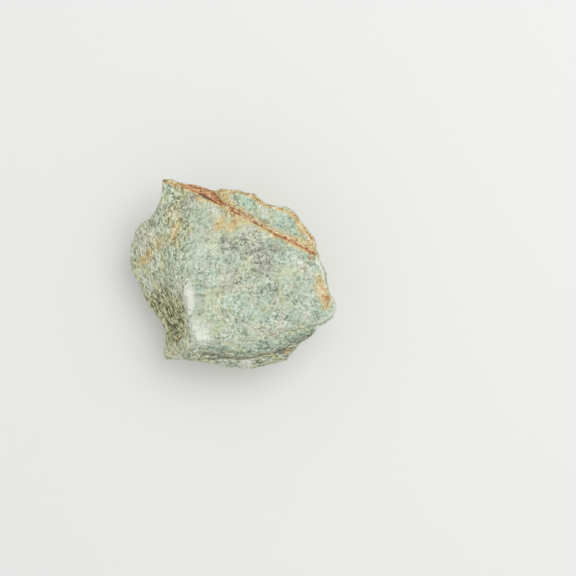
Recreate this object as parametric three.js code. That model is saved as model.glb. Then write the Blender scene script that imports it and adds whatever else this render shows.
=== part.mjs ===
// A raw lump of green aventurine: a mica-bearing quartz rock, broken from its bed and left rough.
// It is one solid. It split along its bedding, so its broad upper face and the patch that it rests
// on are nearly parallel, and every other side is a rough break across the layers.
// Millimetres, +Z up. The stone rests on Z = 0, with the middle of its box over the origin.

import * as THREE from 'three';
import { mergeVertices } from 'three/addons/utils/BufferGeometryUtils.js';

// Driving dimensions
const WIDTH = 88.5;
const DEPTH = 80.6;
const HEIGHT = 46;
const EDGE_WEAR = 2; // rounding of the sharper broken edges
const SQUARES_ACROSS = 34; // the surface is a lattice of squares, each about 2 mm wide
const SQUARES_ALONG = 31;
const SQUARES_UP = 22;
const LATTICE_SQUASH = 0.57; // height of the box that the lattice starts from, as a share of its width

// A place in the stone, in percent of its width, depth and height.
function spot(across, along, up) {
  return new THREE.Vector3((across * WIDTH) / 100, (along * DEPTH) / 100, (up * HEIGHT) / 100);
}

// The point inside from which all of the surface can be seen
const MIDDLE = spot(0, 0, 44);

// A unit vector that leans from straight up by slope degrees, towards azimuth (0 is +X, 90 is +Y).
function facing(azimuth, slope) {
  const turn = THREE.MathUtils.degToRad(azimuth);
  const lean = THREE.MathUtils.degToRad(slope);
  return new THREE.Vector3(Math.sin(lean) * Math.cos(turn), Math.sin(lean) * Math.sin(turn), Math.cos(lean));
}

// A flat face through a spot. It gives the distance of a point past it, which is negative inside.
function face(azimuth, slope, through) {
  const normal = facing(azimuth, slope);
  const offset = normal.dot(through);
  return (point) => normal.dot(point) - offset;
}

// Inside both of two shapes, with the edge between them worn to a rounding.
function both(a, b, rounding) {
  const overlap = Math.max(rounding - Math.abs(a - b), 0);
  return Math.max(a, b) + (overlap * overlap) / (4 * rounding);
}

// Inside one shape or the other, with the inner corner between them eased.
function either(a, b, rounding) {
  return -both(-a, -b, rounding);
}

// The bedding, along which the rock splits most easily
const BEDDING_AZIMUTH = -10;
const BEDDING_DIP = 5;
const BEDDING = facing(BEDDING_AZIMUTH, BEDDING_DIP);

// Plan outline, seen from above, in percent of the width and depth
const OUTLINE = [
  // the sharp far left corner, then the far side with the stained wall
  [-34.3, 50.8], [-24.5, 49.5], [-15, 46], [-9, 43.5],
  // the edge of the split slab
  [-4.5, 45], [4, 43.5], [10, 41], [15.5, 36.5], [25.3, 33.2], [31.2, 30], [34.3, 25], [38.6, 18.5], [40, 12],
  // the right edge of the broad face, and its blunt near corner
  [41, 6], [43, 2], [45.3, -6.5], [48.7, -14], [50, -18], [49, -22], [45, -25], [40.5, -27],
  // the ends and the near edge of the two ledges
  [40.5, -30], [38.5, -33], [33.5, -36], [30.5, -40], [25.5, -45.5], [14.5, -49], [6.5, -50],
  [-5.5, -48.5], [-18.5, -45.5],
  // the pointed foot, and the notch above it
  [-28.5, -45], [-34.2, -45.2], [-33, -36.5], [-32.8, -30.5],
  // the bulging left flank, and the hollow below the far corner
  [-37.5, -21], [-43, -12.5], [-47, -3], [-49.5, 7], [-50, 15.5], [-47.5, 24.5], [-44, 28],
  [-40.5, 29.5], [-36.5, 37], [-34.5, 43],
].map(([across, along]) => spot(across, along, 0));

// Where a line from the middle at angle turn crosses the outline
function outlineReach(turn) {
  for (let i = 0; i < OUTLINE.length; i++) {
    const a = OUTLINE[i];
    const b = OUTLINE[(i + 1) % OUTLINE.length];
    const doubleArea = a.x * b.y - a.y * b.x;
    const shareOfA = (Math.cos(turn) * b.y - Math.sin(turn) * b.x) / doubleArea;
    const shareOfB = (a.x * Math.sin(turn) - a.y * Math.cos(turn)) / doubleArea;
    if (shareOfA >= 0 && shareOfB >= 0) {
      return 1 / (shareOfA + shareOfB);
    }
  }
  throw new Error('the outline must go once round the middle');
}

function pastOutline(point) {
  return Math.hypot(point.x, point.y) - outlineReach(Math.atan2(point.y, point.x));
}

// The broad upper face is a bedding plane.
const broadFace = face(BEDDING_AZIMUTH, BEDDING_DIP, spot(-21.5, 0, 96.5));
const BROAD_FALL_ACROSS = 0.086; // fall of that plane for each millimetre towards +X
const BROAD_RISE_ALONG = 0.015; // and its rise towards +Y

// The left flank falls from a ridge that bows a little in plan. It is steepest at the near end, where the
// ridge is sharp, and eases to a round shoulder at the far end.
const ridgeMiddle = spot(-21.5, 10, 96.5); // where the ridge lies furthest left
const RIDGE_INSET = 0.4; // how much further left it is than the mark on the broad face
const RIDGE_BOW = 25; // how far the ridge would swing right over the whole depth of the stone
const FLANK_SLOPE = 47; // degrees at the middle of the depth
const FLANK_EASING = 40; // degrees by which it eases over the whole depth
const SHARP_RIDGE = 1.2;
const SHOULDER = 14;

function flank(point) {
  const share = point.y / DEPTH;
  const ridge = ridgeMiddle.x - RIDGE_INSET + RIDGE_BOW * ((point.y - ridgeMiddle.y) / DEPTH) ** 2;
  const crest = ridgeMiddle.z - BROAD_FALL_ACROSS * (ridge - ridgeMiddle.x) + BROAD_RISE_ALONG * point.y;
  const slope = THREE.MathUtils.degToRad(FLANK_SLOPE - FLANK_EASING * share);
  return (ridge - point.x) * Math.sin(slope) + (point.z - crest) * Math.cos(slope);
}

// Rounding of the edge between the broad face and the flank: sharp at the near end, wide at the far end
function shoulderRounding(point) {
  return SHARP_RIDGE + SHOULDER * THREE.MathUtils.smoothstep(point.y / DEPTH, -0.12, 0.37);
}

// A crack crosses the far side: a plane, bent at its left end. Its wall is bare there, where the slab
// beyond it is gone.
const CRACK_AZIMUTH = 61.2;
const crackPlane = face(CRACK_AZIMUTH, 64, spot(-14.5, 40.9, 95.5));
const alongCrack = facing(CRACK_AZIMUTH - 90, 90);
const CRACK_BEND = 0.28; // how far the wall turns towards the broad face for each millimetre
const CRACK_BEND_START = -27;

function crackWall(point) {
  return crackPlane(point) + CRACK_BEND * Math.max(CRACK_BEND_START - point.dot(alongCrack), 0);
}

const slabTop = face(41, 13.7, spot(13, 29.3, 89.3));
const slabBevel = face(245, 24, spot(-1.5, 38.1, 92)); // worn down towards the crack
const slabEnd = face(185, 55, spot(-7.3, 41, 87));
const SLAB_OVERLAP = 5; // how far the slab and the ledges run on into the main block
const SLAB_DROP = 0.5; // the least drop from the broad face to the slab

// Two ledges step down along the near side, below the edge of the broad face.
const frontLeft = face(-90, 66, spot(0, -34.7, 93.5));
const frontRight = face(-76, 64, spot(29.4, -28.3, 88));
const upperLedgeTop = face(-70, 18, spot(0, -34.7, 87));
const LEDGE_DROP = 1.2; // the least drop from one layer to the next
const risers = [
  face(-97, 64, spot(-9, -40.3, 82)),
  face(-81, 64, spot(13.6, -40, 80)),
  face(-68, 64, spot(32.8, -34.7, 77.5)),
];
const lowerLedgeTop = face(-85, 38, spot(2.3, -42, 72.5));

// The foot juts out at the near end of the flank. Its own top slopes down to a point, a low wall parts it
// from the flank, and it ends against the ledges.
const footTop = face(217, 52, spot(-33.1, -43.8, 46));
const footWall = face(115, 58, spot(-27.5, -33.7, 62));
const footEnd = face(-15, 80, spot(-18, -44, 60));
const FOOT_EASING = 3;

// Below its widest line the stone draws in all round, towards the patch that it rests on.
const underFaces = [
  face(180, 114, spot(-49, 10, 39)),
  face(225, 112, spot(-36, -46, 24)),
  face(273, 104, spot(0, -50, 52)),
  face(310, 113, spot(46, -32, 65)),
  face(355, 108, spot(50, -15, 78)),
  face(45, 111, spot(40, 27, 78)),
  face(80, 114, spot(0, 46, 76)),
  face(135, 120, spot(-38, 43, 66)),
];
// and lower down the breaks turn in to the edge of that patch
const patchSides = [
  face(184, 146, spot(-27, 0, 0)),
  face(230, 148, spot(-24, -29, 0)),
  face(277, 143, spot(0, -32, 0)),
  face(320, 150, spot(19, -22, 0)),
  face(3, 147, spot(24, 0, 0)),
  face(52, 151, spot(16, 12, 0)),
  face(98, 145, spot(-4, 16, 0)),
  face(146, 153, spot(-22, 12, 0)),
];
const UNDER_ROUNDING = 3;

// Low on the sides the rock broke in steps: the worn top of a layer, and the wall that rises behind it
const brokenSteps = [
  [face(-50, 25, spot(4, -42, 32)), face(-84, 118, spot(4, -47, 50))],
  [face(28, 30, spot(38, 6, 37)), face(24, 116, spot(38, 8, 60))],
  [face(80, 30, spot(5, 31, 48)), face(75, 122, spot(5, 31, 48))],
];

// Round hollows where large flakes broke away: the middle of each, outside the stone, and its radius
const hollows = [
  [spot(-53, 45, 52), 16],
  [spot(-9, -74, 12), 26],
  [spot(56, -34, 25), 24],
  [spot(52, 39, 3), 30],
  [spot(-5, 67, 20), 28],
  [spot(-60, -21, -6), 23],
];
const HOLLOW_ROUNDING = 4;

// Broad swells, and dips where the height is negative: middle, reach and height
const swells = [
  [spot(-43, -3, 45), 10, 1.3],
  [spot(-33, 5, 68), 8, -1.1],
  [spot(-30, 28, 84), 9, 0.8],
  [spot(20, 5, 90), 22, 0.7],
  [spot(-6, -22, 95), 12, 0.6],
  [spot(25, -20, 87), 10, -0.6],
];

// The near front drops from the edge of the broad face to the upper ledge.
function nearFront(point) {
  return both(frontLeft(point), frontRight(point), 2 * EDGE_WEAR);
}

function mainBlock(point) {
  const upper = both(broadFace(point), flank(point), shoulderRounding(point));
  return both(both(upper, crackWall(point), EDGE_WEAR), nearFront(point), EDGE_WEAR);
}

function slab(point) {
  const top = Math.max(slabTop(point), broadFace(point) + SLAB_DROP);
  const bevelled = both(top, slabBevel(point), EDGE_WEAR);
  const block = both(both(bevelled, slabEnd(point), EDGE_WEAR), flank(point), EDGE_WEAR);
  return both(block, -crackWall(point) - SLAB_OVERLAP, EDGE_WEAR);
}

function ledges(point) {
  const riser = risers.map((side) => side(point)).reduce((a, b) => both(a, b, EDGE_WEAR));
  const upperTop = Math.max(upperLedgeTop(point), broadFace(point) + LEDGE_DROP);
  const lowerTop = Math.max(lowerLedgeTop(point), upperTop + LEDGE_DROP);
  const upper = both(both(upperTop, riser, EDGE_WEAR), -nearFront(point) - SLAB_OVERLAP, EDGE_WEAR);
  const lower = both(lowerTop, -riser - SLAB_OVERLAP, EDGE_WEAR);
  return both(either(upper, lower, 0.5 * EDGE_WEAR), flank(point), EDGE_WEAR);
}

function foot(point) {
  return both(both(footTop(point), footWall(point), FOOT_EASING), footEnd(point), EDGE_WEAR);
}

// Distance past the whole stone before its relief, negative inside
function form(point) {
  let depth = either(either(mainBlock(point), slab(point), 0.5 * EDGE_WEAR), ledges(point), 0.5 * EDGE_WEAR);
  depth = both(either(depth, foot(point), FOOT_EASING), pastOutline(point), EDGE_WEAR);
  const undersides = [...underFaces, ...patchSides].map((side) => side(point));
  depth = both(depth, undersides.reduce((a, b) => both(a, b, UNDER_ROUNDING)), EDGE_WEAR);
  for (const [layerTop, wall] of brokenSteps) {
    depth = both(depth, either(layerTop(point), wall(point), 0.5 * EDGE_WEAR), EDGE_WEAR);
  }
  for (const [middle, radius] of hollows) {
    depth = both(depth, radius - point.distanceTo(middle), HOLLOW_ROUNDING);
  }
  for (const [middle, reach, height] of swells) {
    depth -= height * Math.exp(-point.distanceToSquared(middle) / reach ** 2);
  }
  return depth;
}

// The form's outward normal, from how its distance changes along each axis
function formNormal(point) {
  const step = 0.05;
  const change = (x, y, z) => {
    const ahead = form(point.clone().add(new THREE.Vector3(x, y, z)));
    const behind = form(point.clone().sub(new THREE.Vector3(x, y, z)));
    return ahead - behind;
  };
  return new THREE.Vector3(change(step, 0, 0), change(0, step, 0), change(0, 0, step)).normalize();
}

// A repeatable random share, from 0 to 1, for a cell of a cubic lattice
function scatter(x, y, z, turn = 0) {
  const value = Math.sin(x * 127.1 + y * 311.7 + z * 74.7 + turn) * 43758.5453;
  return value - Math.floor(value);
}

// Smooth random heights from -1 to 1, with one value for each corner of the cubic lattice
function rolling(point) {
  const cell = point.clone().floor();
  const share = point.clone().sub(cell);
  const eased = ['x', 'y', 'z'].map((axis) => share[axis] ** 2 * (3 - 2 * share[axis]));
  let total = 0;
  for (const dx of [0, 1]) {
    for (const dy of [0, 1]) {
      for (const dz of [0, 1]) {
        const weight = [dx, dy, dz].reduce((w, far, i) => w * (far ? eased[i] : 1 - eased[i]), 1);
        total += weight * scatter(cell.x + dx, cell.y + dy, cell.z + dz);
      }
    }
  }
  return 2 * total - 1;
}

// Dished scars that meet in ridges: the squared distance to the nearest of points set one to a cell
function scallops(point) {
  const cell = point.clone().floor();
  let nearest = Infinity;
  for (const dx of [-1, 0, 1]) {
    for (const dy of [-1, 0, 1]) {
      for (const dz of [-1, 0, 1]) {
        const corner = cell.clone().add(new THREE.Vector3(dx, dy, dz));
        const jitter = [0, 1.7, 3.1].map((turn) => 0.15 + 0.7 * scatter(corner.x, corner.y, corner.z, turn));
        nearest = Math.min(nearest, point.distanceToSquared(corner.add(new THREE.Vector3(...jitter))));
      }
    }
  }
  return nearest;
}

const SCALLOP_MEAN = 0.28;

// The relief. Each kind has its height, its width and thickness measured along and across the layers, and a
// shift that gives it a pattern of its own.
const broadSwells = { height: 0.6, wide: 17, thick: 17, shift: 0 };
const smallSwells = { height: 0.3, wide: 6.5, thick: 6.5, shift: 5 };
const scars = { height: 0.3, heightAcross: 1.1, wide: 9, thick: 9, shift: 4 };
const layerSteps = { height: 0.7, wide: 16, thick: 5, shift: 3.3 };
const deepScars = { height: 2.4, wide: 15, thick: 10, shift: 2 };

// A point measured in the sizes of one kind of relief
function measured(point, { wide, thick, shift }) {
  if (wide === thick) {
    return point.clone().divideScalar(wide).addScalar(shift);
  }
  const layer = point.dot(BEDDING);
  const inLayer = point.clone().addScaledVector(BEDDING, -layer);
  return new THREE.Vector3(inLayer.x / wide, inLayer.y / wide, layer / thick).addScalar(shift);
}

// 1 on the breaks below the stone's widest line, which are seen only from the side, and 0 elsewhere
function belowOutline(point, normal) {
  const inward = THREE.MathUtils.smoothstep(-pastOutline(point), 0.5, 4);
  return inward * THREE.MathUtils.smoothstep(0.3 - normal.z, 0, 0.3);
}

// Height of the relief along the normal. Breaks across the bedding are rougher than the bedding planes, and
// below the stone's widest line, where nothing has worn them, their scars are deep and wide.
function relief(point, normal) {
  const across = 1 - normal.dot(BEDDING) ** 2;
  const scarHeight = scars.height + scars.heightAcross * across;
  let height = broadSwells.height * rolling(measured(point, broadSwells));
  height += smallSwells.height * rolling(measured(point, smallSwells));
  height += scarHeight * (scallops(measured(point, scars)) - SCALLOP_MEAN);
  height += layerSteps.height * across * rolling(measured(point, layerSteps));
  const deep = deepScars.height * belowOutline(point, normal);
  return height + deep * (scallops(measured(point, deepScars)) - SCALLOP_MEAN);
}

// The surface point that lies on the line from the middle in a direction
function surfacePoint(direction) {
  let inside = 0;
  let outside = WIDTH;
  for (let halving = 0; halving < 24; halving++) {
    const reach = (inside + outside) / 2;
    if (form(MIDDLE.clone().addScaledVector(direction, reach)) > 0) {
      outside = reach;
    } else {
      inside = reach;
    }
  }
  const smooth = MIDDLE.clone().addScaledVector(direction, inside);
  const normal = formNormal(smooth);
  const rough = smooth.clone().addScaledVector(normal, relief(smooth, normal));
  if (rough.z > 0) {
    return rough;
  }
  // What would reach below the resting patch is cut off flat there.
  const share = MIDDLE.z / (MIDDLE.z - rough.z);
  return rough.sub(MIDDLE).multiplyScalar(share).add(MIDDLE).setZ(0);
}

// A box of small squares, blown out from the middle until it meets the stone's surface
function stoneGeometry() {
  const tall = LATTICE_SQUASH * WIDTH;
  const box = new THREE.BoxGeometry(WIDTH, DEPTH, tall, SQUARES_ACROSS, SQUARES_ALONG, SQUARES_UP);
  box.deleteAttribute('normal');
  box.deleteAttribute('uv');
  const geometry = mergeVertices(box);
  const position = geometry.getAttribute('position');
  const corner = new THREE.Vector3();
  for (let i = 0; i < position.count; i++) {
    corner.fromBufferAttribute(position, i).normalize();
    position.setXYZ(i, ...surfacePoint(corner).toArray());
  }
  fitToSize(geometry);
  geometry.computeVertexNormals();
  return geometry;
}

// Relief moves the outermost points a little, so the finished surface is fitted to the stone's size.
function fitToSize(geometry) {
  geometry.computeBoundingBox();
  const { min, max } = geometry.boundingBox;
  geometry.translate(-(min.x + max.x) / 2, -(min.y + max.y) / 2, 0);
  geometry.scale(WIDTH / (max.x - min.x), DEPTH / (max.y - min.y), HEIGHT / max.z);
}

// Pale grey-green rock with a dull break
function aventurine() {
  return new THREE.MeshStandardMaterial({ color: 0xb3bda6, roughness: 0.75, metalness: 0, flatShading: true });
}

const stone = new THREE.Mesh(stoneGeometry(), aventurine());
stone.name = 'stone';

const lump = new THREE.Group();
lump.add(stone);

export default lump;
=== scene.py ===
# A raw lump of green aventurine, lying on a pale table and seen from straight above.
# The stone's shape is worked out in millimetres and put down in metres.

import bpy
import numpy as np
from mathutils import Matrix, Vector


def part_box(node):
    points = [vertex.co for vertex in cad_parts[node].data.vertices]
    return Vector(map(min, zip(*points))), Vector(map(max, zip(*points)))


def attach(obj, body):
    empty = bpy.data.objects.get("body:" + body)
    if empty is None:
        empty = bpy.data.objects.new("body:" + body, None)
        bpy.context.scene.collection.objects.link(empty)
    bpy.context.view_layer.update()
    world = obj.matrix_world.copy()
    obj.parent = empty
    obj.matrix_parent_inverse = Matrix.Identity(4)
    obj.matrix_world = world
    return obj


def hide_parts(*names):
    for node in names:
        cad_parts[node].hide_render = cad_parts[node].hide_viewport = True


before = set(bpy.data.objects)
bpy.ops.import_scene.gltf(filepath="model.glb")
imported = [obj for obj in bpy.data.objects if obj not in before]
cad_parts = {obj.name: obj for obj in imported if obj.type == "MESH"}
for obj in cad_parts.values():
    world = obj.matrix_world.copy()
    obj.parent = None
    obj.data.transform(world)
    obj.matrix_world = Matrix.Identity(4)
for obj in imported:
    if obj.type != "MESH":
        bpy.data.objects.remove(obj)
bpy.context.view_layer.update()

# The form of the stone
# One lump of mica-bearing quartz rock, broken from its bed. It split along its bedding, which gives the
# broad upper face, the slab beyond the crack and the two ledges. Its sides are breaks across the layers.

MM = 0.001
stone_low, stone_high = (np.array(corner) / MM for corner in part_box("stone"))
WIDTH, DEPTH, HEIGHT = stone_high - stone_low
EDGE_WEAR = 0.9


def spot(across, along, up):
    """A place given in percent of the stone's width, depth and height."""
    return np.array([across * WIDTH, along * DEPTH, up * HEIGHT]) / 100.0


MIDDLE = spot(0, 0, 44)


def facing(azimuth, slope):
    """Unit vector that leans from straight up by slope degrees, towards azimuth (0 is +X, 90 is +Y)."""
    turn, lean = np.radians(azimuth), np.radians(slope)
    return np.array([np.sin(lean) * np.cos(turn), np.sin(lean) * np.sin(turn), np.cos(lean)])


def past(p, azimuth, slope, through):
    """Distance of points p past a flat face: (p - a spot on the face) . (the face's normal), less than
    zero inside. A face is written as its azimuth, its slope and a spot that it goes through."""
    return (p - spot(*through)) @ facing(azimuth, slope)


def both(a, b, rounding):
    """Inside both: max(a, b), plus (rounding - |a - b|)^2 / (4 rounding) where the two are close."""
    return np.maximum(a, b) + np.maximum(rounding - np.abs(a - b), 0.0) ** 2 / (4.0 * rounding)


def either(a, b, rounding):
    """Inside one or the other: the same rule turned inside out."""
    return -both(-a, -b, rounding)


def ramp(x, low, high):
    """0 below low, 1 above high, and 3 t^2 - 2 t^3 between."""
    t = np.clip((x - low) / (high - low), 0.0, 1.0)
    return t * t * (3.0 - 2.0 * t)


# Plan outline in percent of the width and depth, from the far left corner round by the right
OUTLINE = [
    (-34.3, 50.8), (-24.5, 49.5), (-15, 46), (-9, 43.5), (-4.5, 45), (4, 43.5), (10, 41), (15.5, 36.5),
    (25.3, 33.2), (31.2, 30), (34.3, 25), (38.6, 18.5), (40, 12), (41, 6), (43, 2), (45.3, -6.5),
    (48.7, -14), (50, -18), (49, -22), (45, -25), (40.5, -27), (40.5, -30), (38.5, -33), (33.5, -36),
    (30.5, -40), (25.5, -45.5), (14.5, -49), (6.5, -50), (-5.5, -48.5), (-18.5, -45.5), (-28.5, -45),
    (-34.2, -45.2), (-33, -36.5), (-32.8, -30.5), (-37.5, -21), (-43, -12.5), (-47, -3), (-49.5, 7),
    (-50, 15.5), (-47.5, 24.5), (-44, 28), (-40.5, 29.5), (-36.5, 37), (-34.5, 43),
]


def past_outline(p):
    """Distance past the plan outline along the line from the middle: the radius of a point less that of the
    outline, where (cos, sin) / (shares of the two nearest outline points) is the outline at that angle."""
    ring = np.array(OUTLINE)[::-1] * [WIDTH / 100, DEPTH / 100]
    angles = np.unwrap(np.arctan2(ring[:, 1], ring[:, 0]))
    turn = np.arctan2(p[:, 1], p[:, 0])
    k = np.searchsorted(angles, (turn - angles[0]) % (2 * np.pi) + angles[0], side="right") - 1
    a, b = ring[k % len(ring)], ring[(k + 1) % len(ring)]
    double_area = a[:, 0] * b[:, 1] - a[:, 1] * b[:, 0]
    share_of_a = (np.cos(turn) * b[:, 1] - np.sin(turn) * b[:, 0]) / double_area
    share_of_b = (a[:, 0] * np.sin(turn) - a[:, 1] * np.cos(turn)) / double_area
    return np.hypot(p[:, 0], p[:, 1]) - 1.0 / (share_of_a + share_of_b)


# The broad face, and how it falls across (+X) and rises along (+Y) for each mm
BEDDING_AZIMUTH, BEDDING_DIP = -10, 5
BEDDING = facing(BEDDING_AZIMUTH, BEDDING_DIP)
BROAD_SPOT = (-21.5, 0, 96.5)
BROAD_FALL_ACROSS = 0.086
BROAD_RISE_ALONG = 0.015

# The left flank, and the ridge where it meets the broad face, round at its far end
RIDGE_PLACE, RIDGE_BOW, BOW_MIDDLE = -0.219, 0.28, 0.1
FLANK_SLOPE, FLANK_EASING = 47, 40
RIDGE_ROUNDING, SHOULDER_ROUNDING, SHOULDER_SPAN = 1.2, 14, (-0.12, 0.37)

# The crack, and the slab beyond it
CRACK_AZIMUTH, CRACK_SLOPE, CRACK_SPOT = 61.2, 64, (-14.5, 40.9, 95.5)
CRACK_BEND, CRACK_BEND_START = 0.28, -27
SLAB_TOP = (41, 13.7, (13, 29.3, 89.3))
SLAB_BEVEL = (245, 24, (-1.5, 38.1, 92))
SLAB_END = (185, 55, (-7.3, 41, 87))
SLAB_DROP = 0.5
OVERLAP = 5

# The two ledges on the near side, the faces above each, and the foot at the near left corner
FRONT_FACES = [(-90, 66, (0, -34.7, 93.5)), (-76, 64, (29.4, -28.3, 88))]
RISERS = [(-97, 64, (-9, -40.3, 82)), (-81, 64, (13.6, -40, 80)), (-68, 64, (32.8, -34.7, 77.5))]
UPPER_LEDGE = (-70, 18, (0, -34.7, 87))
LOWER_LEDGE = (-85, 38, (2.3, -42, 72.5))
LEDGE_DROP = 1.2
FOOT_FACES = [(217, 52, (-33.1, -43.8, 46)), (115, 58, (-27.5, -33.7, 62)), (-15, 80, (-18, -44, 60))]
FOOT_EASING = 3

# The breaks below the widest line, and those round the resting patch
UNDER_FACES = [
    (180, 114, (-49, 10, 39)), (225, 112, (-36, -46, 24)), (273, 104, (0, -50, 52)),
    (310, 113, (46, -32, 65)), (355, 108, (50, -15, 78)), (45, 111, (40, 27, 78)),
    (80, 114, (0, 46, 76)), (135, 120, (-38, 43, 66)),
]
PATCH_SIDES = [
    (184, 146, (-27, 0, 0)), (230, 148, (-24, -29, 0)), (277, 143, (0, -32, 0)), (320, 150, (19, -22, 0)),
    (3, 147, (24, 0, 0)), (52, 151, (16, 12, 0)), (98, 145, (-4, 16, 0)), (146, 153, (-22, 12, 0)),
]
UNDER_ROUNDING = 2

# Steps as (top of a layer, its wall), hollows as (middle, radius), swells as (middle, reach, height)
BROKEN_STEPS = [
    ((-50, 25, (4, -42, 32)), (-84, 118, (4, -47, 50))),
    ((28, 30, (38, 6, 37)), (24, 116, (38, 8, 60))),
    ((80, 30, (5, 31, 48)), (75, 122, (5, 31, 48))),
]
HOLLOWS = [
    ((-53, 45, 52), 16), ((-9, -74, 12), 26), ((56, -34, 25), 24), ((52, 39, 3), 30), ((-5, 67, 20), 28),
    ((-60, -21, -6), 23),
]
HOLLOW_ROUNDING = 2.5
SWELLS = [
    ((-43, -3, 45), 10, 1.3), ((-33, 5, 68), 8, -1.1), ((-30, 28, 84), 9, 0.8), ((20, 5, 90), 22, 0.7),
    ((-6, -22, 95), 12, 0.6), ((25, -20, 87), 10, -0.6),
]


def along_crack(p):
    """Distance along the crack in plan, from left to right."""
    return p @ np.cross([0.0, 0.0, -1.0], facing(CRACK_AZIMUTH, 90))


def past_crack(p):
    """Distance past the crack, less than zero on the side of the broad face. It is a plane, bent towards
    the broad face at its left end by a share of the way beyond the start of the bend."""
    bend = CRACK_BEND * np.maximum(CRACK_BEND_START - along_crack(p), 0.0)
    return past(p, CRACK_AZIMUTH, CRACK_SLOPE, CRACK_SPOT) + bend


def past_flank(p):
    """Distance past the left flank: (ridge - x) sin slope + (z - crest) cos slope. The ridge bows in plan,
    ridge = W (place + bow (y/D - middle)^2), and the slope eases along it, slope - easing y/D degrees."""
    share = p[:, 1] / DEPTH
    ridge = WIDTH * (RIDGE_PLACE + RIDGE_BOW * (share - BOW_MIDDLE) ** 2)
    start_across, _, start_up = spot(*BROAD_SPOT)
    crest = start_up - BROAD_FALL_ACROSS * (ridge - start_across) + BROAD_RISE_ALONG * p[:, 1]
    slope = np.radians(FLANK_SLOPE - FLANK_EASING * share)
    return (ridge - p[:, 0]) * np.sin(slope) + (p[:, 2] - crest) * np.cos(slope)


def past_front(p):
    """Distance past the two faces that drop from the near edge of the broad face to the upper ledge."""
    near, right = (past(p, *face) for face in FRONT_FACES)
    return both(near, right, 2 * EDGE_WEAR)


def past_riser(p):
    """Distance past the three faces that drop from the upper ledge to the lower one."""
    left, near, right = (past(p, *face) for face in RISERS)
    return both(both(left, near, EDGE_WEAR), right, EDGE_WEAR)


def past_broad_face(p):
    """Distance past the broad upper face."""
    return past(p, BEDDING_AZIMUTH, BEDDING_DIP, BROAD_SPOT)


def past_upper(p):
    """Distance past the broad face and the flank, which meet in a ridge that widens to a round shoulder."""
    rounding = RIDGE_ROUNDING + SHOULDER_ROUNDING * ramp(p[:, 1] / DEPTH, *SHOULDER_SPAN)
    return both(past_broad_face(p), past_flank(p), rounding)


def past_ledge_tops(p):
    """Distances past the tops of the upper and the lower ledge. Each keeps a least drop below the layer
    above it."""
    upper = np.maximum(past(p, *UPPER_LEDGE), past_broad_face(p) + LEDGE_DROP)
    return upper, np.maximum(past(p, *LOWER_LEDGE), upper + LEDGE_DROP)


def form(p):
    """Distance past the stone before its relief, less than zero inside: the main block, the slab beyond
    the crack and the two ledges, each the overlap of flat faces, joined and with a foot at the near left.
    The outline, the undersides, the steps and the hollows then cut it, and the swells are added."""
    top, flank, crack = past_broad_face(p), past_flank(p), past_crack(p)
    front, riser = past_front(p), past_riser(p)
    main = both(both(past_upper(p), crack, EDGE_WEAR), front, EDGE_WEAR)
    slab_top = np.maximum(past(p, *SLAB_TOP), top + SLAB_DROP)
    slab = both(both(slab_top, past(p, *SLAB_BEVEL), EDGE_WEAR), past(p, *SLAB_END), EDGE_WEAR)
    slab = both(both(slab, flank, EDGE_WEAR), -crack - OVERLAP, EDGE_WEAR)
    upper_top, lower_top = past_ledge_tops(p)
    upper = both(both(upper_top, riser, EDGE_WEAR), -front - OVERLAP, EDGE_WEAR)
    lower = both(lower_top, -riser - OVERLAP, EDGE_WEAR)
    ledges = both(either(upper, lower, 0.5 * EDGE_WEAR), flank, EDGE_WEAR)
    whole = either(either(main, slab, 0.5 * EDGE_WEAR), ledges, 0.5 * EDGE_WEAR)
    foot_left, foot_far, foot_right = (past(p, *face) for face in FOOT_FACES)
    foot = both(both(foot_left, foot_far, FOOT_EASING), foot_right, EDGE_WEAR)
    whole = both(either(whole, foot, FOOT_EASING), past_outline(p), EDGE_WEAR)
    under = past(p, *UNDER_FACES[0])
    for face in UNDER_FACES[1:] + PATCH_SIDES:
        under = both(under, past(p, *face), UNDER_ROUNDING)
    whole = both(whole, under, EDGE_WEAR)
    for layer_top, wall in BROKEN_STEPS:
        whole = both(whole, either(past(p, *layer_top), past(p, *wall), 0.5 * EDGE_WEAR), EDGE_WEAR)
    for middle, radius in HOLLOWS:
        whole = both(whole, radius - np.linalg.norm(p - spot(*middle), axis=1), HOLLOW_ROUNDING)
    for middle, reach, height in SWELLS:
        whole = whole - height * np.exp(-np.sum((p - spot(*middle)) ** 2, axis=1) / reach ** 2)
    return whole


# The broken surface of the stone
# A bedding plane splits nearly flat, with a sugary grain. A break across the bedding is hackly: it leaves
# dished scars that meet in ridges, and the worn edges of the layers as long low steps.

def scatter(cell, turn=0.0):
    """A repeatable random share for each cell of a cubic lattice: the fraction part of 43758.5 sin(...)."""
    h = np.sin(cell @ np.array([127.1, 311.7, 74.7]) + turn) * 43758.5453
    return h - np.floor(h)


def rolling(q):
    """Smooth random heights from -1 to 1: the values at the eight corners of a cell, eased between."""
    cell = np.floor(q)
    share = q - cell
    share = share * share * (3.0 - 2.0 * share)
    total = 0.0
    for corner in np.ndindex(2, 2, 2):
        weight = np.prod(np.where(np.array(corner) == 1, share, 1.0 - share), axis=1)
        total = total + weight * scatter(cell + corner)
    return 2.0 * total - 1.0


def scallops(q):
    """Dished scars that meet in ridges: squared distance to the nearest of points set one to a cell."""
    cell = np.floor(q)
    nearest = np.full(len(q), 9.0)
    for step in np.ndindex(3, 3, 3):
        corner = cell + np.array(step) - 1.0
        point = corner + 0.15 + 0.7 * np.column_stack([scatter(corner, turn) for turn in (0.0, 1.7, 3.1)])
        nearest = np.minimum(nearest, np.sum((q - point) ** 2, axis=1))
    return nearest


def in_bedding(p):
    """Places measured along the layers (two ways) and across them."""
    layer = p @ BEDDING
    in_layer = p - layer[:, None] * BEDDING
    return np.column_stack([in_layer[:, 0], in_layer[:, 1], layer])


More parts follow.
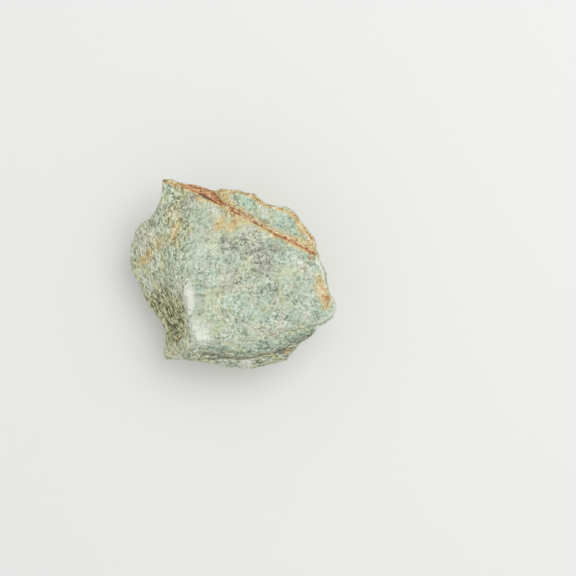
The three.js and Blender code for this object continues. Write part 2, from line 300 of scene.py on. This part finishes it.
def terraces(layers, thickness, reach, shift):
    """Layers that each stand proud by their own amount, from -1 to 1: rolling heights that change along a
    layer over the reach, jump at its edge, and follow layers that bend by up to one thickness."""
    level = layers[:, 2] / thickness + rolling(layers / (3.0 * reach) + shift) + shift
    count = np.floor(level)
    along = layers[:, :2] / reach
    lower = rolling(np.column_stack([along, 7.0 * count]))
    upper = rolling(np.column_stack([along, 7.0 * (count + 1.0)]))
    return lower + (upper - lower) * ramp(level - count, 0.7, 1.0)


# Sizes in millimetres of the parts of the relief. Three numbers are two ways along the layers and one
# across them. A set of layers has its thickness, how far it runs, and a shift.
SWELL, DENT = 17.0, 6.5
SCAR, CHIP = 9.0, 4.4
BENCH, LOW_SCAR = [16.0, 16.0, 5.0], [15.0, 15.0, 10.0]
THICK_LAYERS, THIN_LAYERS = (3.1, 9.0, 0.0), (1.15, 5.0, 4.0)
COARSE_GRAIN, FINE_GRAIN, WALL_GRAIN = 2.4, 1.2, 0.9
CRACK_WIDTH, CRACK_DEPTH = 0.36, 0.8
SCALLOP_MEAN = 0.28
CRACK_NORMAL = facing(CRACK_AZIMUTH, CRACK_SLOPE)


def crack_offset(p):
    """Distance past the crack, which wanders a little from its plane."""
    return past_crack(p) + 0.35 * rolling(p / 6.0 + 2.0) + 0.12 * rolling(p / 2.0)


def on_crack_wall(p, n):
    """1 on the bare wall of the crack, 0 elsewhere: the surface lies on the crack and faces as it does."""
    return ramp(n @ CRACK_NORMAL, 0.84, 0.93) * ramp(-np.abs(past_crack(p)), -2.0, -0.8)


def below_outline(p, n):
    """1 on the breaks below the widest line, which are seen only from the side, and 0 elsewhere."""
    return ramp(-past_outline(p), 0.5, 4.0) * ramp(0.3 - n[:, 2], 0.0, 0.3)


def relief(p, n):
    """Height along the normal n: broad swells and flake scars, layer edges where the face cuts the bedding
    (1 - (n . bedding)^2), small chips, grain, and a groove exp(-(offset / width)^2) along the crack."""
    across = 1.0 - (n @ BEDDING) ** 2
    layers = in_bedding(p)
    tucked = below_outline(p, n)
    height = 0.6 * rolling(p / SWELL) + 0.3 * rolling(p / DENT + 5.0)
    height += (0.3 + 1.1 * across) * (scallops(p / SCAR + 4.0) - SCALLOP_MEAN)
    height += 0.7 * across * rolling(layers / BENCH + 3.3)
    height += 2.4 * tucked * (scallops(layers / LOW_SCAR + 2.0) - SCALLOP_MEAN)
    height += (0.06 + 0.5 * across + 0.4 * tucked) * (scallops(p / CHIP + 9.0) - SCALLOP_MEAN)
    thick, thin = terraces(layers, *THICK_LAYERS), terraces(layers, *THIN_LAYERS)
    height += 0.55 * across * thick + 0.26 * across * thin
    height += 0.10 * rolling(p / COARSE_GRAIN + 7.0) + 0.08 * rolling(p / FINE_GRAIN + 1.0)
    height += 0.25 * on_crack_wall(p, n) * rolling(p / WALL_GRAIN + 3.0)
    on_edge = 1.0 - np.clip(n @ CRACK_NORMAL, 0.0, 1.0) ** 6
    height -= CRACK_DEPTH * on_edge * np.exp(-(crack_offset(p) / CRACK_WIDTH) ** 2)
    return height


def lattice_box(nx, ny, nz):
    """Corners and squares of a box of small squares, each corner once. The corners are whole numbers."""
    size = (nx, ny, nz)
    sides = []
    for fixed, (a, b) in ((2, (0, 1)), (0, (1, 2)), (1, (2, 0))):
        u, v = np.meshgrid(np.arange(size[a] + 1), np.arange(size[b] + 1), indexing="ij")
        for value in (0, size[fixed]):
            q = np.empty(u.shape + (3,), int)
            q[..., a], q[..., b], q[..., fixed] = u, v, value
            squares = np.stack([q[:-1, :-1], q[1:, :-1], q[1:, 1:], q[:-1, 1:]], axis=2).reshape(-1, 4, 3)
            sides.append(squares if value else squares[:, ::-1])
    corners, squares = np.unique(np.concatenate(sides).reshape(-1, 3), axis=0, return_inverse=True)
    return corners, squares.reshape(-1, 4)


LATTICE = (148, 148, 94)
LATTICE_SQUASH = 0.57
TOP_LEVEL = spot(0, 0, 93)[2]
PINCH_REACH = 2.0
PINCH = 0.65
HALVINGS = 18
NORMAL_STEP = 0.05


def directions(corners):
    """Unit vectors from the middle to the lattice's corners. Those that meet the upper face near the crack
    are drawn towards it, s' = s (1 - pinch exp(-(s / reach)^2)), so that the crack has fine squares."""
    half = 0.5 * np.array([WIDTH, DEPTH, WIDTH * LATTICE_SQUASH])
    d = (2.0 * corners / np.array(LATTICE) - 1.0) * half
    up = d[:, 2] > 0.2 * half[2]
    on_top = MIDDLE + d[up] * ((TOP_LEVEL - MIDDLE[2]) / d[up, 2])[:, None]
    offset = past_crack(on_top)
    plan_normal = CRACK_NORMAL * [1.0, 1.0, 0.0]
    plan_normal /= plan_normal @ CRACK_NORMAL
    on_top -= (offset * PINCH * np.exp(-(offset / PINCH_REACH) ** 2))[:, None] * plan_normal
    d[up] = on_top - MIDDLE
    return d / np.linalg.norm(d, axis=1)[:, None]


def surface():
    """The stone's points, squares, smooth places and normals. Each direction from the middle is followed to
    where the form is zero, by halving. The relief then moves the point along the form's own normal, and
    what would reach below the resting patch is cut off flat there. The whole is fitted to its box."""
    corners, squares = lattice_box(*LATTICE)
    d = directions(corners)
    low, high = np.zeros(len(d)), np.full(len(d), WIDTH)
    for _ in range(HALVINGS):
        reach = 0.5 * (low + high)
        outside = form(MIDDLE + d * reach[:, None]) > 0.0
        low, high = np.where(outside, low, reach), np.where(outside, reach, high)
    smooth = MIDDLE + d * low[:, None]
    sides = NORMAL_STEP * np.eye(3)
    normal = np.column_stack([form(smooth + side) - form(smooth - side) for side in sides])
    normal /= np.linalg.norm(normal, axis=1)[:, None]
    rough = smooth + normal * relief(smooth, normal)[:, None]
    below = rough[:, 2] < 0.0
    share = np.where(below, MIDDLE[2] / (MIDDLE[2] - np.minimum(rough[:, 2], 0.0)), 1.0)
    rough = MIDDLE + (rough - MIDDLE) * share[:, None]
    rough[below, 2] = 0.0
    low_corner, high_corner = rough.min(axis=0), rough.max(axis=0)
    low_corner[2] = 0.0
    rough = stone_low + (rough - low_corner) * (stone_high - stone_low) / (high_corner - low_corner)
    return rough, squares, smooth, normal


points, squares, smooth, normals = surface()
mesh = bpy.data.meshes.new("aventurine_lump")
mesh.from_pydata((points * MM).tolist(), [], squares.tolist())
mesh.shade_smooth()
stone = bpy.data.objects.new("aventurine_lump", mesh)
bpy.context.scene.collection.objects.link(stone)
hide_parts("stone")
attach(stone, "root")

# Stains, veins and patches of the stone, and some painted shade and highlights
# Water has left iron rust in the crack, on its bare wall and round the weathered rims. The rock itself
# changes from place to place: milky quartz, dark layers rich in mica, and clearer blue-green bands.

# Where each point of the mesh lies: which way it faces, and on which part of the stone
facing_up = ramp(normals[:, 2], 0.35, 0.8)
not_below = ramp(normals[:, 2], -0.1, 0.2)
steep = 1.0 - (normals @ BEDDING) ** 2
high = ramp(smooth[:, 2] / HEIGHT, 0.4, 0.75)
high_side = (1.0 - facing_up) * high
from_edge = np.minimum(past_outline(smooth), 0.0)
# A pale rim along the right edge of the broad face: partly translucent quartz, partly a painted highlight
rim_quartz_and_highlight = np.exp(-(from_edge / 0.9) ** 2) * ramp(smooth[:, 0] / WIDTH, 0.36, 0.42) * facing_up

# The crack, its bare wall with the paler left end, the wall's upper edge and foot, and the slab's rim
offset = crack_offset(smooth)
along = along_crack(smooth)
on_wall = on_crack_wall(smooth, normals)
bare_wall = on_wall * ramp(along, -14.0, -22.0)
wall_end = on_wall * ramp(along, -33.0, -41.0)
wall_tip = on_wall * ramp(along, -40.5, -43.5)
wall_edge = np.exp(-((past_upper(smooth) + 0.25) ** 2 + (past_crack(smooth) + 0.25) ** 2) / 0.4 ** 2)
wall_edge *= ramp(along, -31.5, -28.5) * ramp(along, -16.0, -21.0)
wall_foot = ramp(-past_broad_face(smooth), 0.7, 1.5) * ramp(-along, 4.0, 8.0)
on_slab = ramp(past_crack(smooth), 0.5, 2.0) * facing_up
slab_rim = np.exp(-(from_edge / 1.5) ** 2) * on_slab

# The front face and what lies below it: the upper ledge, the lower one, and the feet of the two steps
front_face = np.exp(-past_front(smooth) ** 2) * high_side * ramp(-smooth[:, 1] / DEPTH, 0.2, 0.3)
below_front = ramp(past_front(smooth), 0.3, 1.8) * high
upper_top, lower_top = past_ledge_tops(smooth)
upper_ledge = below_front * ramp(lower_top, 0.4, 1.0)
lower_band = below_front - upper_ledge
riser_foot = np.exp(-(past_riser(smooth) ** 2 + lower_top ** 2) / 0.5 ** 2)
front_foot = np.exp(-(past_front(smooth) ** 2 + upper_top ** 2) / 0.4 ** 2)


def marks(*places):
    """Sum of soft patches, each (strength, percent of the width, percent of the depth, reach, stretch,
    turn). At u mm along the direction turned from +X by so many degrees and v mm across it, in plan:
    strength exp(-(u / (reach stretch))^2 - (v / reach)^2)."""
    total = np.zeros(len(smooth))
    for strength, x_percent, y_percent, reach, stretch, turn in places:
        at = smooth - spot(x_percent, y_percent, 0)
        c, s = np.cos(np.radians(turn)), np.sin(np.radians(turn))
        u, v = at[:, 0] * c + at[:, 1] * s, at[:, 1] * c - at[:, 0] * s
        total += strength * np.exp(-(u / (reach * stretch)) ** 2 - (v / reach) ** 2)
    return total * not_below


def keep(name, values):
    """Stores one number from 0 to 1 for each point of the mesh, for the stone's finish to read."""
    shares = np.clip(values, 0.0, 1.0).astype(np.float32)
    mesh.attributes.new(name, "FLOAT", "POINT").data.foreach_set("value", shares)


def crack_stain(near_reach, far_reach):
    """A stain along the crack: exp(-(offset / reach)^2). Its reach on the near side and on the far side
    is given at six stations, in millimetres along the crack from left to right."""
    stations = [-27, -15, -7, 2, 12, 27]
    near, far = np.interp(along, stations, near_reach), np.interp(along, stations, far_reach)
    reach = np.where(offset < 0.0, near, far)
    return np.exp(-(offset / reach) ** 2) * np.maximum(facing_up, 0.7 * high_side) * (1.0 - bare_wall)


# The crack as a thin stained line, painted shade in its opening near the left end, and painted shade in the
# creases at the feet of the steps
keep("crack", np.exp(-(offset / 0.2) ** 2) * (1.0 - on_wall) * (1.0 - wall_foot) + wall_edge)
# Painted shade in the crack's opening near the left end of its wall
keep("crack_opening_shade", marks((1.0, -12.4, 40.3, 1.4, 3.2, -30)))
keep("step_foot_shade", 1.1 * riser_foot + 0.7 * front_foot)

# Places that are a little darker as a whole
keep("dim", 1.1 * below_front + marks((1.2, -29, 36, 5.0, 2.4, 100), (0.6, -27, -29, 4.5, 2.0, 105)))

# Brown rust where the iron is strongest, and paler ochre in a wider zone round it
keep("rust", 0.75 * bare_wall - 0.5 * wall_end + marks(
    (0.8, 37.9, 8.4, 1.2, 1.3, 60), (0.7, -28.3, 23.1, 1.0, 3.0, 75), (0.3, 27.8, -40, 1.0, 2.0, 50),
    (0.6, -36.8, 15.3, 1.6, 1.6, 20), (0.55, 44.5, -11.0, 2.5, 2.2, 108), (0.28, 20.5, 14.5, 1.8, 1.8, -35),
    (0.65, -45, 19.5, 1.3, 2.2, 65), (0.5, 34, 22, 1.2, 1.6, 60), (0.5, 1.0, 27.5, 1.4, 2.6, -29))
     + 0.9 * crack_stain([0.9, 0.4, 0.4, 0.4, 0.5, 0.4], [1.6, 0.9, 0.6, 0.8, 0.5, 0.5])
     + 0.6 * np.exp(-(from_edge / 0.7) ** 2) * on_slab)
keep("ochre", 0.95 * crack_stain([1.5, 1.4, 3.4, 3.0, 1.6, 1.0], [2.4, 2.6, 2.0, 1.7, 1.3, 1.3])
     + slab_rim + 0.2 * on_slab + bare_wall - 0.5 * wall_tip + marks(
    (0.75, 34, 15, 2.2, 2.6, -29), (0.75, 33, 24, 1.6, 2.2, -60), (1.0, -6.5, 41, 3.0, 1.4, -20),
    (1.1, 43.5, -9.5, 3.0, 3.0, 108), (0.35, -3, 25, 4.2, 1.4, 0), (0.6, -6, 26, 1.8, 2.2, 80),
    (0.6, 0.5, 23.3, 2.2, 1.4, 60), (0.9, -15, 38.4, 1.2, 2.4, -20), (0.5, -35.8, 15.6, 3.4, 1.0, 0),
    (0.6, -27, 20, 1.6, 3.6, 75), (0.45, 11, -13, 3.2, 1.5, 60), (0.3, -10, 20, 5.5, 2.2, 65),
    (0.5, -44, 14, 5.0, 2.6, 85), (0.40, -29, 32, 8.0, 2.0, 80), (0.5, -29, -41, 4.0, 1.5, 20),
    (0.7, -44.5, 6.8, 2.0, 1.6, 20), (0.6, -40.5, 10, 1.2, 1.6, 100), (0.8, 27, -40.5, 1.3, 2.4, 50)))

# Milky quartz, with painted highlights along the ridge and on the right rim, zones rich in dark mica, and
# calm zones where the grains differ less
keep("quartz_and_highlight", 0.8 * rim_quartz_and_highlight + 0.6 * front_face + marks(
    # On the next line, the second and third patches paint a highlight along the ridge
    (1.1, -14, -31, 4.6, 1.2, 80), (0.85, -20.3, -13, 2.0, 6.0, 97), (1.1, -20, -11.5, 1.9, 1.8, 100),
    (0.5, -8.8, -7.2, 2.2, 2.0, 70), (0.7, 14.7, 34.4, 1.6, 2.4, -28), (0.5, 32.7, 6.3, 1.2, 3.8, -25),
    (0.5, -7.5, 32, 2.6, 1.8, -60), (0.8, 6.7, -47.5, 2.2, 1.5, 10), (0.4, 30, 2, 4.0, 1.6, 60),
    (0.4, -13, 14, 3.2, 2.4, 60), (0.6, -44, 15, 4.5, 2.2, 85), (0.45, -41, -6, 2.6, 2.0, 115)))
keep("mica", 0.5 * lower_band + 0.3 * upper_ledge + marks(
    (0.7, 10, 12.5, 6.5, 1.6, -25), (0.6, -2.7, 15.1, 3.4, 1.4, 60), (0.6, 16, 2, 5.0, 1.4, 80),
    (0.4, 2, -24, 4.5, 1.8, 10), (0.35, 27, -14, 4.5, 1.5, 60), (0.6, -22, 36, 4.0, 2.2, 75)))
keep("calm", marks(
    (1.0, 29, -1, 4.5, 1.5, -60), (1.0, -12.5, 14, 4.5, 1.6, 80), (0.8, 37, -24, 3.8, 1.6, 10),
    (0.9, -17, -13, 3.2, 3.2, 97), (0.7, -1, 24, 3.5, 1.6, 0)))

# The olive flank, darker in its lower part with painted shade, blue-green bands, streaked faces across the
# bedding, and faces with stained seams
keep("olive_and_shade", not_below * ramp(-past_front(smooth), 0.0, 6.0) * ramp(-smooth[:, 0] / WIDTH, 0.18, 0.27)
     * ramp(-smooth[:, 1] / DEPTH, 0.0, 0.22) * ramp(0.95 - normals[:, 2], 0.0, 0.25)
     * ramp(smooth[:, 1] / DEPTH, -0.42, -0.34)
     + marks((0.3, -29, 36, 5.0, 2.4, 100), (0.3, -33, 0, 5.0, 2.0, 80)))
keep("aqua", 0.45 * on_slab + 0.55 * upper_ledge + 0.5 * lower_band + 0.6 * front_face + marks(
    (0.7, 3.4, -16, 5.0, 1.0, 0), (0.9, -30.6, 45.7, 2.2, 1.0, 0), (0.6, 38.4, 2.2, 3.0, 1.0, 0),
    (0.6, -10, 2, 3.0, 2.4, 85), (0.8, 44, -20, 3.0, 1.8, 20), (0.5, 8, 38, 3.0, 1.6, -20),
    (0.6, 16, -23, 3.6, 1.8, 10), (0.5, -9, -21, 4.5, 1.8, 90), (0.6, 26, 27, 2.4, 2.0, -40)))
keep("flaky", ramp(steep, 0.04, 0.30) + marks((0.8, -29, 30, 10.0, 1.9, 100)))
keep("layered", below_outline(smooth, normals) + 0.8 * below_front)

# The finish of the stone
# Sugary grains of pale quartz, grey-green where they hold mica, with dark mica flakes between them that
# lie along the bedding. Seen on the bedding they are specks, and on the sides they are streaks.

finish = bpy.data.materials.new("aventurine")
finish.use_nodes = True
nodes, links = finish.node_tree.nodes, finish.node_tree.links
shader = nodes["Principled BSDF"]


def seen(red, green, blue):
    """A colour as seen on a screen, from 0 to 255, made linear: ((c + 0.055) / 1.055)^2.4."""
    share = np.array([red, green, blue]) / 255.0
    return (*np.where(share > 0.04045, ((share + 0.055) / 1.055) ** 2.4, share / 12.92), 1.0)


def make(kind, settings, inputs):
    """A node with its settings, and its inputs by name or number: a value, or the output that feeds it."""
    node = nodes.new(kind)
    for name, value in settings.items():
        setattr(node, name, value)
    for name, value in inputs.items():
        if isinstance(value, bpy.types.NodeSocket):
            links.new(value, node.inputs[name])
        else:
            node.inputs[name].default_value = value
    return node


def maths(operation, *values):
    """One step of arithmetic on numbers or outputs."""
    return make("ShaderNodeMath", {"operation": operation}, dict(enumerate(values))).outputs[0]


def mixed(share, a, b):
    """Colour a where the share is 0, colour b where it is 1, and a mix between."""
    return make("ShaderNodeMix", {"data_type": "RGBA"}, {0: share, 6: a, 7: b}).outputs[2]


def eased(value, low, high, to_low=0.0, to_high=1.0):
    """The ramp above as a node: to_low where the value is low, and to_high where it is high."""
    node = make("ShaderNodeMapRange", {"interpolation_type": "SMOOTHSTEP"},
                {"Value": value, "From Min": low, "From Max": high, "To Min": to_low, "To Max": to_high})
    return node.outputs[0]


def tones(value, *stops):
    """A colour that runs through the stops: (share, seen colour) in turn."""
    node = make("ShaderNodeValToRGB", {}, {"Fac": value})
    elements = node.color_ramp.elements
    while len(elements) < len(stops):
        elements.new(0.5)
    for element, (share, colour) in zip(elements, stops):
        element.position = share
        element.color = colour
    return node.outputs["Color"]


def kept(name):
    """The number from 0 to 1 that was stored on the mesh under this name."""
    return make("ShaderNodeAttribute", {"attribute_name": name}, {}).outputs["Fac"]


bedding_turn = Vector((0.0, 0.0, 1.0)).rotation_difference(Vector(BEDDING)).to_euler()
place_on_stone = make("ShaderNodeTexCoord", {}, {}).outputs["Object"]


def measured(flatness, turn=bedding_turn):
    """Places in millimetres in the frame of the bedding, with the layers thinner than wide by flatness."""
    return make("ShaderNodeMapping", {"vector_type": "TEXTURE"},
                {"Vector": place_on_stone, "Rotation": turn, "Scale": (MM, MM, MM / flatness)}).outputs[0]


layered, evenly, long_layers = measured(2.0), measured(1.0), measured(20.0)
across_streaks = Vector((0.866, 0.5, 0.0))
slanting = measured(3.5, Vector((0.0, 0.0, 1.0)).rotation_difference(across_streaks).to_euler())


def noise(size, detail=2.0, rough=0.5, twist=0.0, where=None, shift=0.0):
    """Random cloud with features of a size in millimetres, from 0 to 1."""
    node = make("ShaderNodeTexNoise", {"noise_dimensions": "4D"},
                {"Vector": where or layered, "W": shift, "Scale": 1.0 / size, "Detail": detail,
                 "Roughness": rough, "Distortion": twist})
    return node.outputs["Fac"]


def shifted(value, *parts):
    """The value plus each part's height over its middle, 0.5, times the part's weight."""
    for part, weight in parts:
        value = maths("ADD", value, maths("MULTIPLY", maths("SUBTRACT", part, 0.5), weight))
    return value


def strokes(size, width, shift):
    """Short curved strokes: the thin lines along which a cloud is half way, kept where another is high."""
    cloud = noise(size, 1.0, 0.5, 1.6, shift=shift)
    line = eased(maths("ABSOLUTE", maths("SUBTRACT", cloud, 0.5)), width, 0.0)
    return maths("MULTIPLY", line, eased(noise(0.9 * size, 1.0, 0.5, 0.5, shift=shift + 20.0), 0.50, 0.62))


# Clouds for the grains and for the zones of the rock
grain = noise(1.1, 2.0, 0.6, 0.6)
fine_grain = noise(0.7, 1.0, 0.5, 0.4, shift=3.0)
side_grain = noise(1.5, 3.0, 0.65, 0.7, shift=31.0)
streaks = noise(3.2, 2.0, 0.6, 0.3, slanting, 61.0)
seams = noise(18.0, 2.0, 0.6, 0.1, long_layers, 12.0)
clouds = noise(11.0, 3.0, 0.55, 0.5, evenly, 5.0)
drift = noise(5.0, 3.0, 0.6, 0.8, shift=8.0)
tone = noise(4.2, 2.0, 0.5, 1.2, evenly, 17.0)
blush = noise(7.0, 2.0, 0.5, 0.8, evenly, 26.0)
lively = noise(9.0, 1.0, 0.5, 0.5, evenly, 44.0)

# Flakes are cells a millimetre wide, stirred so that their edges are ragged, each with a tone and a gloss
STIR_SIZE, STIR_REACH = 1.4, (1.4, 1.4, 1.4)
stir = make("ShaderNodeTexNoise", {}, {"Vector": evenly, "Scale": 1.0 / STIR_SIZE, "Detail": 1.0})
stirred = make("ShaderNodeVectorMath", {"operation": "MULTIPLY_ADD"},
               {0: stir.outputs["Color"], 1: STIR_REACH, 2: layered})
flakes = make("ShaderNodeTexVoronoi", {}, {"Vector": stirred.outputs[0], "Scale": 1.0})
flake_parts = make("ShaderNodeSeparateColor", {}, {"Color": flakes.outputs["Color"]})
flake_tone, flake_gloss, _ = flake_parts.outputs

# How light each grain is: one mix on the bedding and another across it, with streaks and seams
flaky = kept("flaky")
contrast = maths("ADD", eased(lively, 0.42, 0.58, 0.65, 1.1), maths("MULTIPLY", kept("mica"), 0.15))
contrast = maths("MULTIPLY", contrast, maths("SUBTRACT", 1.0, maths("MULTIPLY", kept("calm"), 0.4)))
top_grain = maths("ADD", maths("MULTIPLY", grain, 0.6), maths("MULTIPLY", fine_grain, 0.4))
top_grain = maths("MULTIPLY", maths("SUBTRACT", shifted(top_grain, (flake_tone, 0.10)), 0.5), contrast)
salt_on_top = shifted(maths("ADD", top_grain, 0.5), (tone, 0.38))
seam_weight = maths("ADD", 0.10, maths("MULTIPLY", kept("layered"), 0.50))
side_contrast = maths("ADD", 1.0, maths("MULTIPLY", kept("olive_and_shade"), 0.3))
side_grain = maths("ADD", maths("MULTIPLY", maths("SUBTRACT", side_grain, 0.5), side_contrast), 0.512)
salt_on_side = shifted(side_grain, (flake_tone, 0.16), (seams, seam_weight), (tone, 0.14),
                       (streaks, kept("olive_and_shade")))
salt = maths("ADD", maths("MULTIPLY", salt_on_top, maths("SUBTRACT", 1.0, flaky)),
             maths("MULTIPLY", salt_on_side, flaky))
salt = maths("SUBTRACT", salt, maths("MULTIPLY", kept("dim"), 0.04))

# The colours of the rock, each from its darkest grains to its palest
sage = tones(salt, (0.35, seen(118, 132, 112)), (0.43, seen(162, 174, 152)), (0.51, seen(189, 199, 178)),
             (0.58, seen(205, 213, 194)), (0.67, seen(231, 236, 220)))
cream = tones(salt, (0.35, seen(130, 139, 110)), (0.43, seen(171, 180, 148)), (0.51, seen(197, 205, 171)),
              (0.58, seen(210, 216, 184)), (0.67, seen(232, 235, 211)))
aqua = tones(salt, (0.35, seen(114, 136, 118)), (0.43, seen(156, 178, 158)), (0.51, seen(184, 205, 184)),
             (0.58, seen(200, 218, 199)), (0.67, seen(227, 238, 226)))
pinkish = tones(salt, (0.35, seen(136, 130, 112)), (0.43, seen(180, 175, 155)),
                (0.51, seen(206, 201, 181)), (0.58, seen(218, 213, 194)), (0.67, seen(237, 233, 217)))
micaceous = tones(salt, (0.37, seen(106, 114, 102)), (0.45, seen(146, 151, 134)),
                  (0.53, seen(175, 178, 158)), (0.60, seen(198, 200, 180)), (0.68, seen(226, 227, 210)))
olive_and_shade = tones(salt, (0.36, seen(72, 66, 36)), (0.42, seen(116, 113, 72)), (0.50, seen(162, 161, 116)),
              (0.57, seen(194, 195, 149)), (0.64, seen(224, 224, 185)))
warm_break = tones(salt, (0.37, seen(104, 104, 64)), (0.43, seen(159, 157, 107)),
                   (0.50, seen(201, 199, 148)), (0.57, seen(222, 220, 174)), (0.65, seen(242, 240, 206)))
cool_break = tones(salt, (0.37, seen(96, 104, 76)), (0.43, seen(146, 155, 124)),
                   (0.50, seen(187, 197, 165)), (0.57, seen(211, 218, 187)), (0.65, seen(239, 241, 216)))

# The rock's own drift of colour comes first, then the stored zones, the strokes, and the stains and painted
# shade on top
colour = mixed(eased(clouds, 0.42, 0.54), cream, sage)
break_colour = mixed(eased(clouds, 0.44, 0.54), warm_break, cool_break)
colour = mixed(maths("MULTIPLY", flaky, 0.8), colour, break_colour)
colour = mixed(maths("MULTIPLY", eased(drift, 0.49, 0.60), 0.8), colour, aqua)
colour = mixed(maths("MULTIPLY", eased(blush, 0.53, 0.61), 0.5), colour, pinkish)
ragged = maths("MULTIPLY", maths("SUBTRACT", drift, 0.5), 1.6)


def patchy(name, low=0.25, high=0.75):
    """A stored patch with its edge broken up by the drift of the rock."""
    return eased(maths("ADD", kept(name), ragged), low, high)


colour = mixed(maths("MULTIPLY", patchy("aqua"), 0.8), colour, aqua)
colour = mixed(patchy("mica"), colour, micaceous)
# The olive rock of the flank, with painted shade in its darkest tones on the lower flank
colour = mixed(patchy("olive_and_shade"), colour, olive_and_shade)
# Pale quartz, which also paints the highlights on the ridge and the right rim
colour = mixed(maths("MULTIPLY", patchy("quartz_and_highlight", 0.1, 1.0), 0.9), colour, tones(
    salt, (0.38, seen(206, 213, 197)), (0.50, seen(230, 234, 219)), (0.62, seen(245, 246, 237))))
colour = mixed(maths("MULTIPLY", strokes(2.0, 0.05, 40.0), 0.5), colour, seen(98, 106, 86))
colour = mixed(maths("MULTIPLY", strokes(2.4, 0.05, 50.0), 0.45), colour, seen(236, 240, 228))
ochre = tones(salt, (0.38, seen(160, 124, 70)), (0.46, seen(201, 172, 110)), (0.54, seen(216, 198, 146)),
              (0.64, seen(235, 228, 190)))
colour = mixed(maths("MULTIPLY", patchy("ochre", 0.3, 0.9), 0.85), colour, ochre)
rust = tones(salt, (0.38, seen(118, 66, 34)), (0.45, seen(173, 106, 61)), (0.52, seen(204, 142, 95)),
             (0.62, seen(230, 190, 147)))
colour = mixed(maths("MULTIPLY", patchy("rust", 0.25, 0.8), 0.95), colour, rust)
stained = maths("MULTIPLY", kept("layered"), eased(blush, 0.44, 0.58))
stained_seams = maths("MULTIPLY", eased(seams, 0.42, 0.34), stained)
seam_colour = mixed(eased(drift, 0.44, 0.56), seen(118, 98, 74), seen(176, 164, 126))
colour = mixed(maths("MULTIPLY", stained_seams, 0.7), colour, seam_colour)
# Painted shade in the creases at the feet of the two steps
crease_shade = tones(salt, (0.38, seen(84, 80, 62)), (0.62, seen(168, 164, 140)))
colour = mixed(maths("MULTIPLY", patchy("step_foot_shade", 0.3, 0.9), 0.6), colour, crease_shade)
crack_line = maths("MULTIPLY", eased(kept("crack"), 0.35, 0.85), eased(drift, 0.40, 0.56, 0.85, 0.45))
colour = mixed(crack_line, colour, seen(112, 68, 46))
# Painted shade, dark brown, in the crack's opening
colour = mixed(maths("MULTIPLY", eased(kept("crack_opening_shade"), 0.3, 0.8), 0.75), colour, seen(72, 42, 30))
links.new(colour, shader.inputs["Base Color"])

# The glossiest flakes glint, and the grains stand out a little
glint = eased(flake_gloss, 0.86, 0.94)
roughness = eased(grain, 0.35, 0.7, 0.78, 0.55)
links.new(maths("SUBTRACT", roughness, maths("MULTIPLY", glint, 0.25)), shader.inputs["Roughness"])
shader.inputs["Specular IOR Level"].default_value = 0.4

height = maths("ADD", maths("MULTIPLY", salt, 0.6), maths("MULTIPLY", fine_grain, 0.2))
bump = make("ShaderNodeBump", {}, {"Height": height, "Distance": 0.8 * MM, "Strength": 0.7})
links.new(bump.outputs[0], shader.inputs["Normal"])
mesh.materials.append(finish)

# The table
# A plain pale board with a matt painted top, lying level under the stone. It is so large that its edge is
# never near the stone.

floor_mesh = bpy.data.meshes.new("table_top")
half = 3.0
floor_mesh.from_pydata([(-half, -half, 0), (half, -half, 0), (half, half, 0), (-half, half, 0)], [],
                       [(0, 1, 2, 3)])
floor = bpy.data.objects.new("table_top", floor_mesh)
bpy.context.scene.collection.objects.link(floor)
paper = bpy.data.materials.new("pale_table")
paper.use_nodes = True
paper.node_tree.nodes["Principled BSDF"].inputs["Base Color"].default_value = (0.87, 0.87, 0.86, 1.0)
paper.node_tree.nodes["Principled BSDF"].inputs["Roughness"].default_value = 0.8
floor_mesh.materials.append(paper)

# Light and camera
# A pale sky all round and one broad lamp high over the far right, which leave soft shadows. The camera
# looks straight down from 0.7 m, a little to the right of the stone, as in the photograph.

world = bpy.data.worlds.new("studio")
world.use_nodes = True
world.node_tree.nodes["Background"].inputs["Color"].default_value = (1.0, 1.0, 1.0, 1.0)
world.node_tree.nodes["Background"].inputs["Strength"].default_value = 0.70
bpy.context.scene.world = world

lamp_data = bpy.data.lights.new("broad_lamp", "AREA")
lamp_data.energy = 3.6
lamp_data.size = 0.7
lamp = bpy.data.objects.new("broad_lamp", lamp_data)
lamp.location = (0.35, 0.25, 0.95)
lamp.rotation_euler = (Vector(lamp.location) * -1.0).to_track_quat("-Z", "Y").to_euler()
bpy.context.scene.collection.objects.link(lamp)

camera_data = bpy.data.cameras.new("camera")
camera_data.sensor_width = 36.0
camera_data.lens = 98.3
camera = bpy.data.objects.new("camera", camera_data)
camera.location = (0.0239, -0.0058, 0.7)
bpy.context.scene.collection.objects.link(camera)
bpy.context.scene.camera = camera
bpy.context.scene.view_settings.view_transform = "Standard"
